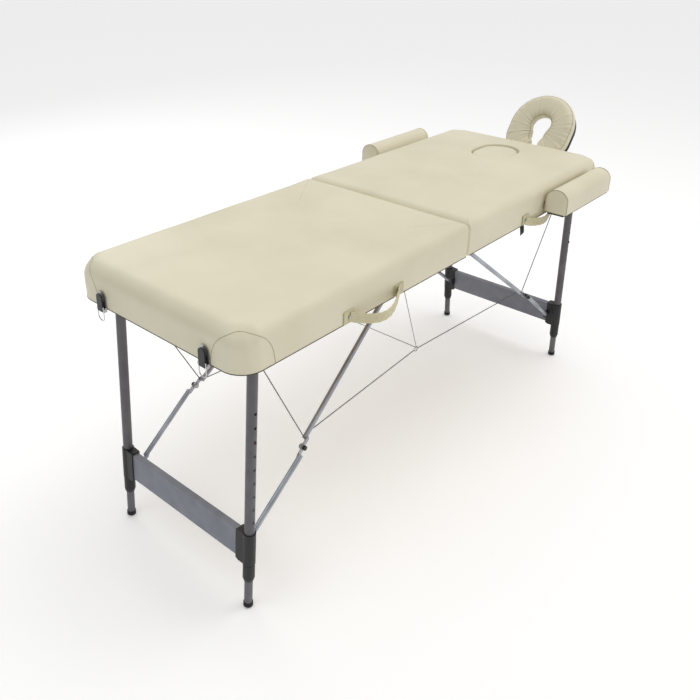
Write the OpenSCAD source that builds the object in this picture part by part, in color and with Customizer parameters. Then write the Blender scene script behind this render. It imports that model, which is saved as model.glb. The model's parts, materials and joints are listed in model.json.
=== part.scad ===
// Portable two-section treatment bed with folding leg frames, armrests and a face rest.
// Millimetres, +Z up, X along the bed with the foot end at -X, near side at -Y.

/* [Bed] */
// Length of the two padded sections together
bed_l = 1850; // [1800:10:1900]
// Width of the padded top
bed_w = 650; // [640:10:700]
// Height of the panels' lower edge above the floor
under_h = 766; // [740:2:780]
// Height from the panels' lower edge to the top of the padding
panel_t = 110; // [100:2:120]
// Plan radius of the four outer corners
corner_r = 65; // [50:5:80]
// Depth of the rails that carry each board
rail_d = 49; // [48:1:52]
// Thickness of the rails
rail_t = 18; // [16:1:20]

/* [Legs] */
// Outside diameter of the upper leg tube
leg_od = 28; // [27:1:29]
// Outside diameter of the sliding lower leg tube
inner_od = 23; // [22:1:23]
// Distance from the end of the bed to the leg pivots
leg_inset = 92; // [88:1:100]
// Distance between the two legs of one frame
leg_track = 528; // [510:2:530]
// Outward splay of the legs, in degrees
leg_splay = 3.9; // [2:0.1:5]
// Distance between the height holes
hole_pitch = 41; // [38:1:42]
// Number of height holes
hole_count = 9; // [8:1:9]
// Number of the hole that the button stands in
button_hole = 3; // [3:1:4]
// Height of the crossbar section
crossbar_h = 84; // [70:2:88]

/* [Braces] */
// Outside diameter of the brace tubes
brace_od = 15; // [13:1:15]
// Distance of the knuckle from the end of the bed
knuckle_x = 297; // [280:1:310]
// Height of the knuckle above the floor
knuckle_z = 367; // [355:1:380]
// Distance of the upper brace pivot from the end of the bed
brace_top_x = 875; // [865:1:880]
// Diameter of the steel cables
cable_d = 3; // [2:0.5:4]

/* [Armrests] */
// Length of each armrest
arm_l = 345; // [320:5:360]
// Width of each armrest
arm_w = 80; // [76:1:84]
// Height of each armrest
arm_h = 85; // [80:1:90]
// How far the far armrest is pulled out of its sockets
far_arm_out = 50; // [0:5:55]

/* [Face rest] */
// Width of the face cushion
face_w = 270; // [260:5:280]
// Length of the face cushion
face_l = 310; // [300:5:320]
// Thickness of the face cushion
face_t = 60; // [50:2:64]
// Tilt of the face cushion above level, in degrees
face_tilt = 53; // [45:1:55]

/* [Hidden] */
$fn = 48;
eps = 0.01;

// The hinge plane's place in the frame: the bounding box is centred on the origin.
hinge_x = -117.31;
bed_y = -25;

half_l = bed_l / 2;
half_w = bed_w / 2;
seam = 0.5;                       // half the gap between the two cushions
cover_t = 4;                      // room for the cover over the rails
hinge_corner_r = 16;
rail_z0 = under_h + 3;
rail_z1 = rail_z0 + rail_d;       // underside of the board
board_t = 6;
board_z1 = rail_z1 + board_t;
top_z = under_h + panel_t;
rail_y1 = half_w - cover_t;       // outer face of a side rail
rail_y0 = rail_y1 - rail_t;       // inner face of a side rail
rail_x_hinge = -4;                // hinge-end face of the hinge-end rail
rail_x_end = -half_l + cover_t;   // outer face of the outer end rail

leg_r = leg_od / 2;
leg_bore_r = leg_r - 1.7;
inner_r = inner_od / 2;
leg_y = leg_track / 2;
pivot_x = -half_l + leg_inset;
pivot_z = under_h + 18;
pivot_pin_r = 5;
run_gap = 0.05;                   // radial clearance of a running fit
foot_ball_r = 30;                 // radius of the domed foot
cap_r = inner_r + 2;
leg_len = (pivot_z - foot_ball_r) / cos(leg_splay) + foot_ball_r;
leg_top = 16;                     // tube above its pivot
first_hole = 169;                 // first hole below the pivot
button_t = first_hole + (button_hole - 1) * hole_pitch;
hole_r = 4;
connector_t0 = 536;               // connector's top, along the leg from the pivot
connector_t1 = 637;
collar_t1 = 694;
connector_r = leg_r + 3.5;
flange_w = 38;
flange_x = 14;
crossbar_x = 10;
crossbar_t0 = connector_t0 + 8;
crossbar_t1 = crossbar_t0 + crossbar_h;

brace_r = brace_od / 2;
eye_r = brace_r;
eye_pin_r = 4;
eye_t = 3;
low_pin_x = 25;                   // lower brace pivot, across the leg frame
low_pin_t = 590;                  // lower brace pivot, along the leg
low_tube_y = 237.5;
low_eye_y = 229.5;                // the lower eye's inner face
top_eye_y = 226;                  // the upper eye's inner face at the knuckle
top_tube_y0 = 219.5;
top_tube_y1 = 179;
low_pin = [
    pivot_x + low_pin_x * cos(leg_splay) - low_pin_t * sin(leg_splay),
    pivot_z - low_pin_x * sin(leg_splay) - low_pin_t * cos(leg_splay)
];
knuckle = [-half_l + knuckle_x, knuckle_z];
top_pin = [-half_l + brace_top_x, pivot_z + 24];

hinge_pin_x = 8;                  // each pin's distance from the hinge plane
hinge_pin_z = under_h - 9;
hinge_pin_r = 3;
barrel_r = 6;
hinge_ys = [-215, 0, 215];

ring_y = 164;
ring_z = 378;
ring_r = 8;
hub_y = 45;

latch_y = 202;
latch_x = -half_l;
lever_pin = [latch_x - 6.5, under_h - 2];
lever_pin_r = 1.5;
loop_pin = [latch_x - 10, under_h + 7];
lever_half = 11;
loop_half = 12.6;

handle_x = [-560, -350];
handle_z = 786;

arm_x0 = 465;
arm_z0 = 783;
arm_gap = 8;
arm_rod_y0 = 249;
arm_rod_x = [485, 790];
arm_rod_z = 809.5;
arm_rod_r = 5.5;

face_centre = [1050, 885];
face_pivot_s = 85;                // pivot's distance down the cradle from its centre
face_board_t = 10;
face_pivot_n = 16 + face_t / 2 + face_board_t / 2;
face_pivot = [
    face_centre[0] - face_pivot_s * cos(face_tilt) + face_pivot_n * sin(face_tilt),
    face_centre[1] - face_pivot_s * sin(face_tilt) - face_pivot_n * cos(face_tilt)
];
face_rod_y = 145;
face_rod_r = 6;
face_bolt_r = 4;

plug_r = 75;
plug_half = 25;
plug_x = 695;

// ---------- helpers ----------
// Puts bed coordinates, with the hinge plane at x = 0, into the frame.
module placed() {
    translate([hinge_x, bed_y, 0])
        children();
}

module foot_end() {
    placed()
        children();
}

module head_end() {
    placed()
        mirror([1, 0, 0])
            children();
}

// Far side as drawn, near side mirrored.
module far_side() {
    children();
}

module near_side() {
    mirror([0, 1, 0])
        children();
}

module both_sides() {
    far_side()
        children();
    near_side()
        children();
}

// Leg frame coordinates: the pivot at the origin, the leg along -Z.
module leg_space() {
    translate([pivot_x, 0, pivot_z])
        rotate([0, leg_splay, 0])
            children();
}

// A rod along +Y from y0 to y1 at x, z.
module rod_y(x, z, y0, y1, r) {
    translate([x, y0, z])
        rotate([-90, 0, 0])
            cylinder(r = r, h = y1 - y0);
}

// A rod along +X from x0 to x1 at y, z.
module rod_x(y, z, x0, x1, r) {
    translate([x0, y, z])
        rotate([0, 90, 0])
            cylinder(r = r, h = x1 - x0);
}

// A straight round bar between two points.
module bar(p, q, r, fn = 48) {
    d = q - p;
    len = norm(d);
    translate(p)
        rotate([0, acos(d[2] / len), atan2(d[1], d[0])])
            cylinder(r = r, h = len, $fn = fn);
}

// Plan outline of one half, foot half at -X: large outer corners, small hinge corners.
module half_plan(inset) {
    x0 = -half_l + inset;
    x1 = -seam - inset;
    w = half_w - inset;
    r0 = corner_r - inset;
    r1 = max(hinge_corner_r - inset, 1);
    translate([x0 + r0, -w])
        square([x1 - r1 - x0 - r0, 2 * w]);
    translate([x0, -w + r0])
        square([r0 + eps, 2 * w - 2 * r0]);
    translate([x1 - r1 - eps, -w + r1])
        square([r1 + eps, 2 * w - 2 * r1]);
    for (s = [-1, 1]) {
        translate([x0 + r0, s * (w - r0)])
            circle(r = r0);
        translate([x1 - r1, s * (w - r1)])
            circle(r = r1);
    }
}

// A stadium outline: two circles of radius r, their centres half apart each way along X.
module stadium(r, half) {
    translate([-half, -r])
        square([2 * half, 2 * r]);
    for (s = [-1, 1])
        translate([s * half, 0])
            circle(r = r);
}

module plug_outline(gap) {
    translate([-plug_x, 0])
        stadium(plug_r - gap, plug_half);
}

// ---------- panels ----------
module board() {
    translate([0, 0, rail_z1])
        linear_extrude(board_t)
            half_plan(cover_t);
}

module cushion() {
    translate([0, 0, board_z1])
        linear_extrude(top_z - board_z1)
            half_plan(0);
}

module side_rails() {
    both_sides()
        translate([-half_l + corner_r, rail_y0, rail_z0])
            cube([half_l - corner_r + rail_x_hinge, rail_t, rail_d]);
}

// The outer end rail turns both corners; the hinge-end rail is straight.
module end_rails() {
    translate([0, 0, rail_z0])
        linear_extrude(rail_d)
            intersection() {
                difference() {
                    half_plan(cover_t);
                    half_plan(cover_t + rail_t);
                }
                translate([-half_l, -half_w])
                    square([corner_r - 0.2, bed_w]);
            }
    translate([rail_x_hinge - rail_t, -rail_y0 + 0.2, rail_z0])
        cube([rail_t, 2 * rail_y0 - 0.4, rail_d]);
}

// Leg pivot blocks with their pins, and the ears that hold the upper braces.
module brackets() {
    block_y0 = leg_y + leg_r + 1;
    ear_x1 = rail_x_hinge - rail_t;
    both_sides() {
        translate([pivot_x - 20, block_y0, pivot_z - 15])
            cube([40, rail_y0 - block_y0, rail_z1 - pivot_z + 15]);
        rod_y(pivot_x, pivot_z, leg_y - leg_r - 3, block_y0 + 1, pivot_pin_r);
        translate([top_pin[0] - 9, top_tube_y1 + 2, top_pin[1] - 9])
            cube([ear_x1 - top_pin[0] + 9, 5, rail_z1 - top_pin[1] + 9]);
        rod_y(top_pin[0], top_pin[1], top_tube_y1 - 4, top_tube_y1 + 3, eye_pin_r);
    }
}

module hinge_leaves() {
    for (y = hinge_ys)
        difference() {
            union() {
                translate([-58, y - 12, under_h - 3])
                    cube([58 - hinge_pin_x + 3, 24, 6]);
                rod_y(-hinge_pin_x, hinge_pin_z, y - 12, y + 12, barrel_r);
                translate([-hinge_pin_x - 5, y - 12, hinge_pin_z])
                    cube([8, 24, 7]);
            }
            rod_y(-hinge_pin_x, hinge_pin_z, y - 13, y + 13, hinge_pin_r + run_gap);
        }
}

// A padded strap between two screwed tabs on the near side. It bows out by bow and hangs by
// droop, each following a power of the half sine along the span.
function handle_point(t, bow, bow_power, droop, droop_power) = [
    handle_x[0] + (handle_x[1] - handle_x[0]) * t,
    -half_w - 3.5 - bow * pow(sin(180 * t), bow_power),
    handle_z - droop * pow(sin(180 * t), droop_power)
];

module handle(bow, bow_power, droop, droop_power) {
    steps = 14;
    strap_t = 5;
    strap_h = 28;
    y0 = -half_w - 0.5;
    for (i = [0 : steps - 1]) {
        p = handle_point(i / steps, bow, bow_power, droop, droop_power);
        q = handle_point((i + 1) / steps, bow, bow_power, droop, droop_power);
        d = q - p;
        translate(p)
            rotate([0, -asin(d[2] / norm(d)), 0])
                rotate([0, 0, atan2(d[1], norm([d[0], d[2]]))])
                    translate([-0.5, -strap_t / 2, -strap_h / 2])
                        cube([norm(d) + 1, strap_t, strap_h]);
    }
    for (x = handle_x) {
        translate([x - 20, y0 - 4, handle_z - 18])
            cube([40, 4, 36]);
        rod_y(x, handle_z, y0 - 6.5, -half_w + cover_t, 4);
    }
}

// ---------- latches ----------
module latch_plate() {
    w = 18;
    translate([latch_x - 3, 0, 0])
        rotate([90, 0, 90])
            linear_extrude(3) {
                translate([-w, under_h])
                    square([2 * w, 32]);
                translate([0, under_h + 32])
                    circle(r = w);
            }
    for (s = [-1, 1])
        difference() {
            translate([latch_x - 10, s * 16.2 - 1.5, under_h - 6])
                cube([8, 3, 12]);
            translate([latch_x - 12, s * 16.2 - 2.5, under_h + 2])
                cube([4, 5, 8]);
        }
    rod_y(lever_pin[0], lever_pin[1], -17, 17, lever_pin_r);
    for (z = [under_h + 20, under_h + 44])
        rod_x(0, z, latch_x - 1, latch_x + cover_t, 2);
}

module latch_lever() {
    difference() {
        union() {
            translate([latch_x - 12, -lever_half, under_h - 6])
                cube([8, 2 * lever_half, 40]);
            rod_x(0, under_h + 34, latch_x - 12, latch_x - 8, lever_half);
        }
        translate([latch_x - 8, -14, under_h + 13])
            cube([8, 28, 40]);
        rod_y(lever_pin[0], lever_pin[1], -14, 14, lever_pin_r + run_gap);
        rod_y(loop_pin[0], loop_pin[1], -14, 14, 1.5 + run_gap);
    }
}

module latch_loop() {
    wire = 1.5;
    reach = 28;
    half = loop_half;
    x = loop_pin[0];
    z = loop_pin[1];
    rod_y(x, z, -half, half, wire);
    for (s = [-1, 1]) {
        translate([x, s * half, z - reach])
            cylinder(r = wire, h = reach);
        translate([x, s * half, z])
            sphere(r = wire);
    }
    translate([x, 0, z - reach])
        rotate([90, 0, 90])
            rotate([0, 0, 180])
                rotate_extrude(angle = 180)
                    translate([half, 0])
                        circle(r = wire);
}

module keeper() {
    translate([latch_x - 3, -14, under_h + 2])
        cube([3, 28, 36]);
    translate([latch_x - 9, -8, under_h + 24])
        cube([7, 16, 3]);
    translate([latch_x - 9, -8, under_h + 24])
        cube([3, 16, 9]);
    for (z = [under_h + 10, under_h + 34])
        rod_x(0, z, latch_x - 1, latch_x + cover_t, 2);
}

// ---------- leg frames ----------
module leg_tube() {
    difference() {
        translate([0, leg_y, -connector_t1 + 1])
            cylinder(r = leg_r, h = connector_t1 - 1 + leg_top);
        translate([0, leg_y, -connector_t1])
            cylinder(r = leg_bore_r, h = connector_t1 + leg_top + 1);
        rod_y(0, 0, leg_y - leg_r - 1, leg_y + leg_r + 1, pivot_pin_r + run_gap);
        for (i = [0 : hole_count - 1])
            rod_y(0, -first_hole - i * hole_pitch, leg_y, leg_y + leg_r + 1, hole_r);
    }
}

module connector() {
    pocket_y1 = leg_y - leg_r - 2;
    difference() {
        union() {
            translate([0, leg_y, -connector_t1])
                cylinder(r = connector_r, h = connector_t1 - connector_t0);
            translate([-flange_x, 0, 0])
                rotate([90, 0, 90])
                    linear_extrude(2 * flange_x)
                        polygon([
                            [leg_y, -connector_t0],
                            [leg_y - flange_w, -connector_t0 - 3],
                            [leg_y - flange_w, -connector_t1 + 4],
                            [leg_y - flange_w + 10, -connector_t1],
                            [leg_y, -connector_t1]
                        ]);
            translate([flange_x - 2, low_eye_y - 6, -low_pin_t - 12])
                cube([low_pin_x - flange_x + 8, 5.5, 24]);
        }
        translate([0, leg_y, -connector_t1 + 1])
            cylinder(r = leg_r + run_gap, h = connector_t1);
        translate([0, leg_y, -connector_t1 - 1])
            cylinder(r = inner_r + run_gap, h = 4);
        translate([-crossbar_x, leg_y - flange_w - 1, -crossbar_t1])
            cube([2 * crossbar_x, pocket_y1 - leg_y + flange_w + 1, crossbar_h]);
    }
    rod_y(low_pin_x, -low_pin_t, low_eye_y - 2, low_eye_y + eye_t + 2, eye_pin_r);
}

module crossbar() {
    half_y = leg_y - leg_r - 2;
    wall = 2;
    difference() {
        translate([-crossbar_x, -half_y, -crossbar_t1])
            cube([2 * crossbar_x, 2 * half_y, crossbar_h]);
        translate([-crossbar_x + wall, -half_y - 1, -crossbar_t1 + wall])
            cube([2 * crossbar_x - 2 * wall, 2 * half_y + 2, crossbar_h - 2 * wall]);
    }
}

module collar() {
    translate([0, leg_y, -collar_t1])
        rotate_extrude()
            polygon([
                [inner_r + run_gap, 0],
                [leg_r - 0.5, 0],
                [leg_r + 2.5, 10],
                [leg_r + 2.5, collar_t1 - connector_t1 - 3],
                [leg_r + 1, collar_t1 - connector_t1],
                [inner_r + run_gap, collar_t1 - connector_t1]
            ]);
}

module inner_leg() {
    top = button_t - 30;
    tube_end = leg_len - 4;
    difference() {
        translate([0, leg_y, -tube_end])
            cylinder(r = inner_r, h = tube_end - top);
        translate([0, leg_y, -tube_end - 1])
            cylinder(r = inner_r - 1.5, h = tube_end - top + 2);
        rod_y(0, -button_t, leg_y, leg_y + inner_r + 1, hole_r);
    }
}

// A rubber cup over the tube's end, with a domed sole.
module foot_cap() {
    cup = 15;
    difference() {
        intersection() {
            translate([0, leg_y, -leg_len])
                cylinder(r = cap_r, h = cup);
            translate([0, leg_y, -leg_len + foot_ball_r])
                sphere(r = foot_ball_r, $fn = 96);
        }
        translate([0, leg_y, -leg_len + 4])
            difference() {
                cylinder(r = inner_r, h = cup);
                translate([0, 0, -1])
                    cylinder(r = inner_r - 1.5, h = cup + 2);
            }
    }
}

// Spring button: the head stands in the hole, the flange stays inside the lower tube.
module button() {
    rod_y(0, -button_t, leg_y + 6, leg_y + leg_r + 2, hole_r - 0.1);
    rod_y(0, -button_t, leg_y + 3, leg_y + inner_r - 5, hole_r + 1.5);
}

// ---------- braces ----------
// One flat-ended tube from p to q (x, z), with the tube and each eye at their own y.
module brace(p, q, tube_y, eye_y) {
    d = q - p;
    len = norm(d);
    ang = atan2(d[1], d[0]);
    flat = 22;
    lean = atan2(tube_y[1] - tube_y[0], len);
    translate([p[0], 0, p[1]])
        rotate([0, -ang, 0])
            difference() {
                union() {
                    translate([0, tube_y[0], 0])
                        rotate([0, 0, lean])
                            translate([flat / cos(lean), 0, 0])
                                rotate([0, 90, 0])
                                    cylinder(r = brace_r, h = (len - 2 * flat) / cos(lean));
                    for (i = [0, 1])
                        translate([i * len, 0, 0])
                            mirror([i, 0, 0]) {
                                rod_y(0, 0, eye_y[i], eye_y[i] + eye_t, eye_r);
                                translate([0, eye_y[i], -eye_r + 1])
                                    cube([flat + 6, eye_t, 2 * eye_r - 2]);
                                tab_y0 = min(eye_y[i], tube_y[i]);
                                tab_y1 = max(eye_y[i] + eye_t, tube_y[i]);
                                translate([flat - 2, tab_y0, -4])
                                    cube([12, tab_y1 - tab_y0, 8]);
                            }
                }
                for (i = [0, 1])
                    rod_y(i * len, 0, eye_y[i] - 1, eye_y[i] + eye_t + 1, eye_pin_r + run_gap);
            }
}

module lower_brace() {
    brace(low_pin, knuckle, [low_tube_y, low_tube_y], [low_eye_y, low_eye_y]);
}

module upper_brace() {
    brace(knuckle, top_pin, [top_tube_y0, top_tube_y1], [top_eye_y, top_tube_y1 - eye_t / 2]);
}

// Nut cap on the outside of each knuckle.
module knuckle_nut() {
    y0 = low_eye_y;
    rod_y(knuckle[0], knuckle[1], y0, y0 + eye_t, eye_pin_r);
    rod_y(knuckle[0], knuckle[1], y0 + eye_t, y0 + eye_t + 7, 7);
}

// ---------- cables ----------
function lift(p, y) = [p[0], y, p[1]];

// Each side: from the knuckle to the ring under the hinge, and from the knuckle to the leg pivot.
module cables() {
    start = knuckle + [26, 20];
    bar(
        lift(start, top_tube_y0 - brace_r + 1),
        [-ring_r - cable_d - 1, ring_y, ring_z],
        cable_d / 2, 16
    );
    bar(
        lift(knuckle + [14, 20], top_eye_y - 4),
        [pivot_x - 6, 236, rail_z1 - 2],
        cable_d / 2, 16
    );
}

module ring() {
    translate([0, ring_y, ring_z])
        rotate([90, 0, 0])
            rotate_extrude()
                translate([ring_r, 0])
                    circle(r = cable_d / 2 + 0.3, $fn = 24);
}

// Two rings hung from the hub, and the cable between them.
module hanging_cables() {
    both_sides() {
        ring();
        bar(
            [0, hub_y, hinge_pin_z - 9],
            [0, ring_y, ring_z + ring_r],
            cable_d / 2, 16
        );
    }
    bar(
        [ring_r, -ring_y, ring_z],
        [ring_r, ring_y, ring_z],
        cable_d / 2, 16
    );
}

// Each link carries both pins of its hinge; the middle one also carries the cable hub.
module links() {
    for (y = hinge_ys) {
        for (s = [-1, 1]) {
            y0 = y + (s > 0 ? 12.5 : -16);
            for (x = [-hinge_pin_x, hinge_pin_x])
                rod_y(x, hinge_pin_z, y0, y0 + 3.5, barrel_r - 0.5);
            translate([-hinge_pin_x, y0, hinge_pin_z - barrel_r + 0.5])
                cube([2 * hinge_pin_x, 3.5, 2 * barrel_r - 1]);
        }
        for (x = [-hinge_pin_x, hinge_pin_x])
            rod_y(x, hinge_pin_z, y - 15, y + 15, hinge_pin_r);
    }
    for (s = [-1, 1])
        translate([-5, s > 0 ? 12.5 : -16, hinge_pin_z - 9])
            cube([10, 3.5, 9]);
    translate([-5, -hub_y - 5, hinge_pin_z - 9.5])
        cube([10, 2 * hub_y + 10, 2.5]);
}

// ---------- head half ----------
module arm_sockets(r) {
    for (x = arm_rod_x)
        both_sides()
            rod_y(x, arm_rod_z, rail_y0 - 5, rail_y1 + 5, r);
}

module face_sockets(r) {
    for (s = [-1, 1])
        translate([half_l - cover_t - rail_t - 5, s * face_rod_y, face_pivot[1]])
            rotate([0, 90, 0])
                cylinder(r = r, h = rail_t + 10);
}

// Half-round bolster, flat below and against the bed.
module arm_pad() {
    r = 39;
    difference() {
        translate([arm_x0, half_w + arm_gap, arm_z0])
            rotate([90, 0, 90])
                linear_extrude(arm_l) {
                    square([arm_w, arm_h - r]);
                    translate([r, arm_h - r])
                        circle(r = r);
                    translate([arm_w - r, arm_h - r])
                        circle(r = r);
                    translate([r, arm_h - r])
                        square([arm_w - 2 * r, r]);
                }
        for (x = arm_rod_x)
            rod_y(x, arm_rod_z, half_w, half_w + 60, arm_rod_r);
    }
}

module arm_frame() {
    for (x = arm_rod_x) {
        rod_y(x, arm_rod_z, arm_rod_y0, half_w + 60, arm_rod_r);
        translate([x - 12, half_w + arm_gap + 10, arm_z0 - 6])
            cube([24, arm_w - 22, 6]);
    }
}

module slid_out() {
    translate([0, far_arm_out, 0])
        children();
}

// Face cushion outline in its own plane: U along the length, V across.
module face_outline(grow) {
    r = face_w / 2 + grow;
    half = face_l / 2 - face_w / 2;
    difference() {
        stadium(r, half);
        translate([28, 0])
            circle(r = 52 - grow);
        translate([-30, 0])
            circle(r = 38 - grow);
        translate([-30, -36 + grow])
            square([58, 72 - 2 * grow]);
        translate([-face_l, -19 + grow])
            square([face_l, 38 - 2 * grow]);
    }
}

module face_space() {
    translate([face_centre[0], 0, face_centre[1]])
        rotate([0, -face_tilt, 0])
            children();
}

module cushion_ring() {
    face_space()
        translate([0, 0, -face_t / 2])
            linear_extrude(face_t)
                face_outline(0);
}

// Horseshoe board with the lugs that ride on the pivot bolt.
module cradle() {
    lug_x = -face_pivot_s;
    lug_z = -face_pivot_n;
    board_z = -face_t / 2 - face_board_t;
    lug_y0 = 40;
    lug_y1 = 60;
    face_space()
        difference() {
            union() {
                translate([0, 0, board_z])
                    linear_extrude(face_board_t - 0.2)
                        face_outline(-6);
                for (s = [-1, 1]) {
                    y0 = s > 0 ? lug_y0 : -lug_y1;
                    rod_y(lug_x, lug_z, y0, y0 + 20, 10);
                    translate([lug_x - 10, y0, lug_z])
                        cube([20, 20, board_z - lug_z + 1]);
                }
            }
            rod_y(lug_x, lug_z, -80, 80, face_bolt_r + run_gap);
        }
}

// Two rods out of the end rail, their eyes, the tie between them and the pivot bolt.
module face_rods() {
    px = face_pivot[0];
    pz = face_pivot[1];
    for (s = [-1, 1]) {
        translate([half_l - 125, s * face_rod_y, pz])
            rotate([0, 90, 0])
                cylinder(r = face_rod_r, h = px - 4 - half_l + 125);
        rod_y(px, pz, s * face_rod_y - 8, s * face_rod_y + 8, 11);
    }
    translate([half_l - 120, -face_rod_y, pz - 4])
        cube([12, 2 * face_rod_y, 8]);
    rod_y(px, pz, -face_rod_y - 14, face_rod_y + 8, face_bolt_r);
    rod_y(px, pz, face_rod_y + 8, face_rod_y + 14, 8);
}

module clamp_lever() {
    px = face_pivot[0];
    pz = face_pivot[1];
    lever_y = -face_rod_y - 24;
    difference() {
        union() {
            rod_y(px, pz, lever_y, lever_y + 15, 10);
            translate([px, lever_y, pz - 5])
                cube([62, 8, 10]);
            rod_y(px + 62, pz, lever_y, lever_y + 8, 5);
        }
        rod_y(px, pz, lever_y + 9, lever_y + 24, face_bolt_r + run_gap);
    }
}

// ---------- nodes ----------
module foot_board() {
    color("burlywood")
        foot_end()
            board();
}

module foot_cushion() {
    color("#ddd6bc")
        foot_end()
            cushion();
}

module foot_side_rails() {
    color("burlywood")
        foot_end()
            side_rails();
}

module foot_end_rails() {
    color("burlywood")
        foot_end()
            end_rails();
}

module foot_brackets() {
    color("dimgray")
        foot_end()
            brackets();
}

module foot_hinge_leaves() {
    color("silver")
        foot_end()
            hinge_leaves();
}

module foot_handle() {
    color("#d3cba9")
        foot_end()
            handle(38, 1, 22, 1);
}

module latch_plates() {
    color("#33333a")
        foot_end()
            for (s = [-1, 1])
                translate([0, s * latch_y, 0])
                    latch_plate();
}

module near_latch_lever() {
    color("#26262b")
        foot_end()
            translate([0, -latch_y, 0])
                latch_lever();
}

module near_latch_loop() {
    color("silver")
        foot_end()
            translate([0, -latch_y, 0])
                latch_loop();
}

module far_latch_lever() {
    color("#26262b")
        foot_end()
            translate([0, latch_y, 0])
                latch_lever();
}

module far_latch_loop() {
    color("silver")
        foot_end()
            translate([0, latch_y, 0])
                latch_loop();
}

module foot_leg_tubes() {
    color("#6a6669")
        foot_end()
            leg_space()
                both_sides()
                    leg_tube();
}

module foot_connectors() {
    color("#17171a")
        foot_end()
            leg_space()
                both_sides()
                    connector();
}

module foot_crossbar() {
    color("#62656f")
        foot_end()
            leg_space()
                crossbar();
}

module foot_collars() {
    color("#17171a")
        foot_end()
            leg_space()
                both_sides()
                    collar();
}

module foot_near_inner_leg() {
    color("#55555a")
        foot_end()
            leg_space()
                near_side()
                    inner_leg();
}

module foot_near_foot_cap() {
    color("#141414")
        foot_end()
            leg_space()
                near_side()
                    foot_cap();
}

module foot_near_button() {
    color("#3a2a2a")
        foot_end()
            leg_space()
                near_side()
                    button();
}

module foot_far_inner_leg() {
    color("#55555a")
        foot_end()
            leg_space()
                inner_leg();
}

module foot_far_foot_cap() {
    color("#141414")
        foot_end()
            leg_space()
                foot_cap();
}

module foot_far_button() {
    color("#3a2a2a")
        foot_end()
            leg_space()
                button();
}

module foot_lower_braces() {
    color("silver")
        foot_end()
            both_sides()
                lower_brace();
}

module foot_knuckle_nuts() {
    color("#17171a")
        foot_end()
            both_sides()
                knuckle_nut();
}

module foot_upper_braces() {
    color("silver")
        foot_end()
            both_sides()
                upper_brace();
}

module foot_cables() {
    color("gray")
        foot_end()
            both_sides()
                cables();
}

module head_board() {
    color("burlywood")
        head_end()
            difference() {
                board();
                translate([-plug_x, 0, rail_z1 - 1])
                    linear_extrude(board_t + 2)
                        stadium(plug_r - 12, plug_half);
            }
}

module head_cushion() {
    color("#ddd6bc")
        head_end()
            difference() {
                cushion();
                translate([0, 0, board_z1 - 1])
                    linear_extrude(panel_t)
                        plug_outline(0);
            }
}

module head_side_rails() {
    color("burlywood")
        difference() {
            head_end()
                side_rails();
            placed()
                arm_sockets(arm_rod_r + run_gap);
        }
}

module head_end_rails() {
    color("burlywood")
        difference() {
            head_end()
                end_rails();
            placed()
                face_sockets(face_rod_r + run_gap);
        }
}

module head_brackets() {
    color("dimgray")
        head_end()
            brackets();
}

module head_hinge_leaves() {
    color("silver")
        head_end()
            hinge_leaves();
}

module head_handle() {
    color("#d3cba9")
        head_end()
            handle(16, 3, 42, 0.7);
}

module latch_keepers() {
    color("silver")
        head_end()
            for (s = [-1, 1])
                translate([0, s * latch_y, 0])
                    keeper();
}

// Free end of a black webbing strap screwed inside the near rail.
module strap_end() {
    color("#111111")
        placed()
            union() {
                translate([378, -302.5, 714])
                    rotate([0, -14, 0])
                        cube([26, 2, 70]);
                rod_y(377, 775, -303, -299, 4);
            }
}

module breath_plug() {
    color("#ddd6bc")
        head_end()
            translate([0, 0, board_z1 + 0.2])
                linear_extrude(top_z - board_z1 - 2)
                    plug_outline(0.6);
}

module head_leg_tubes() {
    color("#6a6669")
        head_end()
            leg_space()
                both_sides()
                    leg_tube();
}

module head_connectors() {
    color("#17171a")
        head_end()
            leg_space()
                both_sides()
                    connector();
}

module head_crossbar() {
    color("#62656f")
        head_end()
            leg_space()
                crossbar();
}

module head_collars() {
    color("#17171a")
        head_end()
            leg_space()
                both_sides()
                    collar();
}

module head_near_inner_leg() {
    color("#55555a")
        head_end()
            leg_space()
                near_side()
                    inner_leg();
}

module head_near_foot_cap() {
    color("#141414")
        head_end()
            leg_space()
                near_side()
                    foot_cap();
}

module head_near_button() {
    color("#141414")
        head_end()
            leg_space()
                near_side()
                    button();
}

module head_far_inner_leg() {
    color("#55555a")
        head_end()
            leg_space()
                inner_leg();
}

module head_far_foot_cap() {
    color("#141414")
        head_end()
            leg_space()
                foot_cap();
}

module head_far_button() {
    color("#141414")
        head_end()
            leg_space()
                button();
}

module head_lower_braces() {
    color("silver")
        head_end()
            both_sides()
                lower_brace();
}

module head_knuckle_nuts() {
    color("#17171a")
        head_end()
            both_sides()
                knuckle_nut();
}

module head_upper_braces() {
    color("silver")
        head_end()
            both_sides()
                upper_brace();
}

module head_cables() {
    color("gray")
        head_end()
            both_sides()
                cables();
}

module near_armrest_pad() {
    color("#ddd6bc")
        placed()
            near_side()
                arm_pad();
}

module near_armrest_frame() {
    color("#141414")
        placed()
            near_side()
                arm_frame();
}

module far_armrest_pad() {
    color("#ddd6bc")
        placed()
            slid_out()
                arm_pad();
}

module far_armrest_frame() {
    color("#141414")
        placed()
            slid_out()
                arm_frame();
}

module face_rest_rods() {
    color("#777777")
        placed()
            face_rods();
}

module face_rest_cradle() {
    color("#2b2a2c")
        placed()
            cradle();
}

module face_rest_cushion() {
    color("#ddd6bc")
        placed()
            cushion_ring();
}

module face_rest_lever() {
    color("#141414")
        placed()
            clamp_lever();
}

module hinge_links() {
    color("silver")
        placed()
            links();
}

module cable_net() {
    color("gray")
        placed()
            hanging_cables();
}

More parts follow.
